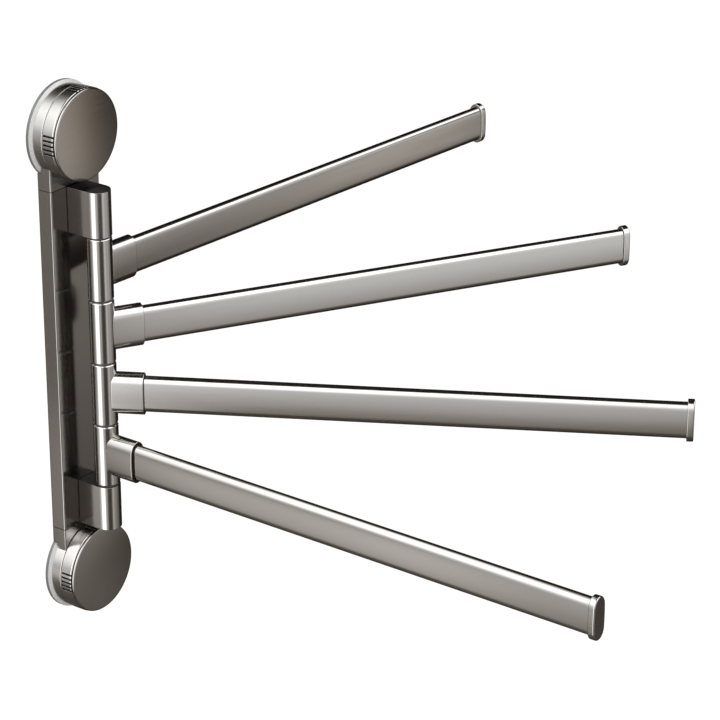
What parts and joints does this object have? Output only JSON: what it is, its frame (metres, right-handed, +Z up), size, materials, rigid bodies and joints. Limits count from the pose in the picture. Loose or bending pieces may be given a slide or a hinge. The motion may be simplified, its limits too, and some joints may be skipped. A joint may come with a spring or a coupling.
{
  "type": "swing arm towel bar",
  "caption": "Wall-held towel bar: flat hanging bars swivel on one upright rod in front of a slim back plate, held by turn-to-lock suction units.",
  "frame": {"origin": "on the wall plane, behind the middle of the back plate", "axes": "+X to the right along the wall, +Y into the wall, +Z up; the bars hang in front of the wall at negative Y"},
  "size_m": [0.3606, 0.3597, 0.3238],
  "materials": {
    "wall_metal": "brushed gun grey",
    "arm_metal": "brushed gun grey",
    "cover_metal": "brushed gun grey",
    "plated_plastic": "gun grey plated",
    "fastener_steel": "zinc plated",
    "washer_plastic": "moulded",
    "soft_cup": "translucent moulded",
    "nut_brass": "plain"
  },
  "bodies": {
    "wall_frame": {"back_plate": "wall_metal", "upper_bracket": "wall_metal", "lower_bracket": "wall_metal", "bracket_screws": "fastener_steel", "pivot_rod": "fastener_steel", "rod_screw": "fastener_steel", "rod_washer": "fastener_steel", "friction_washers": "washer_plastic", "upper_seat": "plated_plastic", "lower_seat": "plated_plastic", "seat_screws": "fastener_steel", "upper_suction_cup": "soft_cup", "lower_suction_cup": "soft_cup"},
    "arm_1": {"arm_hub_1": "arm_metal", "hub_bush_1": "washer_plastic", "arm_bar_1": "arm_metal", "end_cap_1": "plated_plastic"},
    "arm_2": {"arm_hub_2": "arm_metal", "hub_bush_2": "washer_plastic", "arm_bar_2": "arm_metal", "end_cap_2": "plated_plastic"},
    "arm_3": {"arm_hub_3": "arm_metal", "hub_bush_3": "washer_plastic", "arm_bar_3": "arm_metal", "end_cap_3": "plated_plastic"},
    "arm_4": {"arm_hub_4": "arm_metal", "hub_bush_4": "washer_plastic", "arm_bar_4": "arm_metal", "end_cap_4": "plated_plastic"},
    "upper_knob": {"upper_knob_ring": "plated_plastic", "upper_knob_nut": "nut_brass", "upper_knob_cover": "cover_metal"},
    "upper_stud": {"upper_cup_stud": "fastener_steel"},
    "lower_knob": {"lower_knob_ring": "plated_plastic", "lower_knob_nut": "nut_brass", "lower_knob_cover": "cover_metal"},
    "lower_stud": {"lower_cup_stud": "fastener_steel"}
  },
  "joints": [
    {"name": "arm_1_swing", "type": "hinge", "parent": "wall_frame", "child": "arm_1", "pos_m": [0, -0.026, 0.05715], "axis": [0, 0, 1], "range_deg": [-174, 6]},
    {"name": "arm_2_swing", "type": "hinge", "parent": "wall_frame", "child": "arm_2", "pos_m": [0, -0.026, 0.01905], "axis": [0, 0, 1], "range_deg": [-149, 31]},
    {"name": "arm_3_swing", "type": "hinge", "parent": "wall_frame", "child": "arm_3", "pos_m": [0, -0.026, -0.01905], "axis": [0, 0, 1], "range_deg": [-119, 61]},
    {"name": "arm_4_swing", "type": "hinge", "parent": "wall_frame", "child": "arm_4", "pos_m": [0, -0.026, -0.05715], "axis": [0, 0, 1], "range_deg": [-89, 91]},
    {"name": "upper_knob_turn", "type": "hinge", "parent": "wall_frame", "child": "upper_knob", "pos_m": [0, -0.01, 0.1337], "axis": [0, -1, 0], "range_deg": [0, 540]},
    {"name": "upper_stud_slide", "type": "slide", "parent": "wall_frame", "child": "upper_stud", "axis": [0, 1, 0], "range_m": [0, 0.0019], "deforming": ["upper_suction_cup"]},
    {"name": "lower_knob_turn", "type": "hinge", "parent": "wall_frame", "child": "lower_knob", "pos_m": [0, -0.01, -0.1337], "axis": [0, -1, 0], "range_deg": [0, 540]},
    {"name": "lower_stud_slide", "type": "slide", "parent": "wall_frame", "child": "lower_stud", "axis": [0, 1, 0], "range_m": [0, 0.0019], "deforming": ["lower_suction_cup"]}
  ],
  "couplings": [
    {"joint": "upper_stud_slide", "follows": "upper_knob_turn", "m_per_rad": 0.00019894},
    {"joint": "lower_stud_slide", "follows": "lower_knob_turn", "m_per_rad": 0.00019894}
  ]
}
